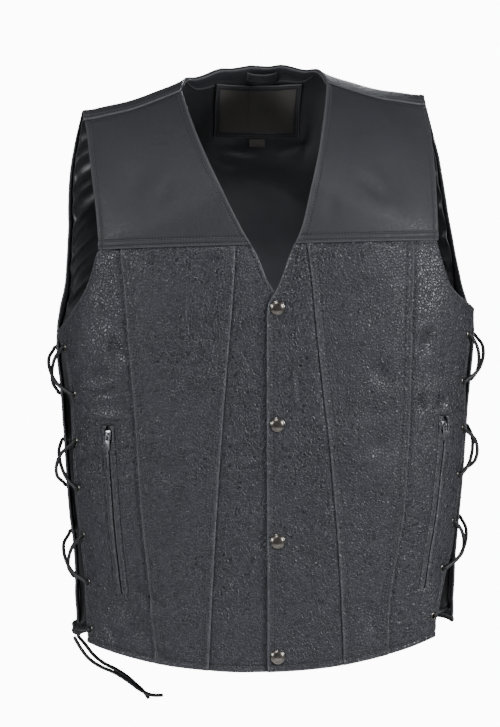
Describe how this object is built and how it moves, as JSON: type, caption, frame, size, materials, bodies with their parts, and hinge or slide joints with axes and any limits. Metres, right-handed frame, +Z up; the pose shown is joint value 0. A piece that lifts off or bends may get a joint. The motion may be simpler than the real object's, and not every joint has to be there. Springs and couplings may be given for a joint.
{
  "type": "leather vest",
  "caption": "Sleeveless V-neck leather vest in its worn, hollow form, with snap front, zip pockets, satin back lining and laced side openings.",
  "frame": {"origin": "between the wearer's shoulders, at the height of the neck points, where the vest is carried", "axes": "+Z up, +X to the wearer's left, the wearer faces -Y"},
  "size_m": [0.4758, 0.2706, 0.6906],
  "materials": {
    "smooth_leather": "fine-grained black cowhide, satin sheen",
    "pebbled_leather": "pebbled black cowhide, satin sheen",
    "satin": "black satin lining",
    "label_cloth": "dark woven label, bare",
    "thong": "black round leather thong",
    "zip_tape": "black woven tape with a metal chain",
    "nickel": "bright nickel",
    "gunmetal": "antiqued gunmetal"
  },
  "bodies": {
    "vest": {"back": "smooth_leather", "back_lining": "satin", "neck_band": "smooth_leather", "label_patch": "label_cloth", "size_tab": "label_cloth", "hanger_loop": "smooth_leather", "yoke_right": "smooth_leather", "front_centre_right": "pebbled_leather", "front_middle_right": "pebbled_leather", "front_side_right": "pebbled_leather", "pocket_lip_right_inner": "pebbled_leather", "pocket_lip_right_outer": "pebbled_leather", "zip_tape_right": "zip_tape", "zip_slider_right": "nickel", "lace_right": "thong", "lace_knot_right": "thong", "yoke_left": "smooth_leather", "front_centre_left": "pebbled_leather", "front_middle_left": "pebbled_leather", "front_side_left": "pebbled_leather", "pocket_lip_left_inner": "pebbled_leather", "pocket_lip_left_outer": "pebbled_leather", "zip_tape_left": "zip_tape", "zip_slider_left": "nickel", "lace_left": "thong", "lace_knot_left": "thong", "lace_tail_right_a": "thong", "lace_tail_right_b": "thong", "snap_1": "gunmetal", "snap_2": "gunmetal", "snap_3": "gunmetal", "snap_4": "gunmetal"},
    "pull_right": {"zip_pull_right": "nickel"},
    "pull_left": {"zip_pull_left": "nickel"}
  },
  "joints": [
    {"name": "pull_right_swing", "type": "hinge", "parent": "vest", "child": "pull_right", "pos_m": [-0.16272, -0.08795, -0.37588], "axis": [-0.831, 0.5557, -0.0247], "range_deg": [0, 130]},
    {"name": "pull_left_swing", "type": "hinge", "parent": "vest", "child": "pull_left", "pos_m": [0.19526, -0.08247, -0.36745], "axis": [-0.79, -0.6126, 0.0253], "range_deg": [0, 130]}
  ]
}
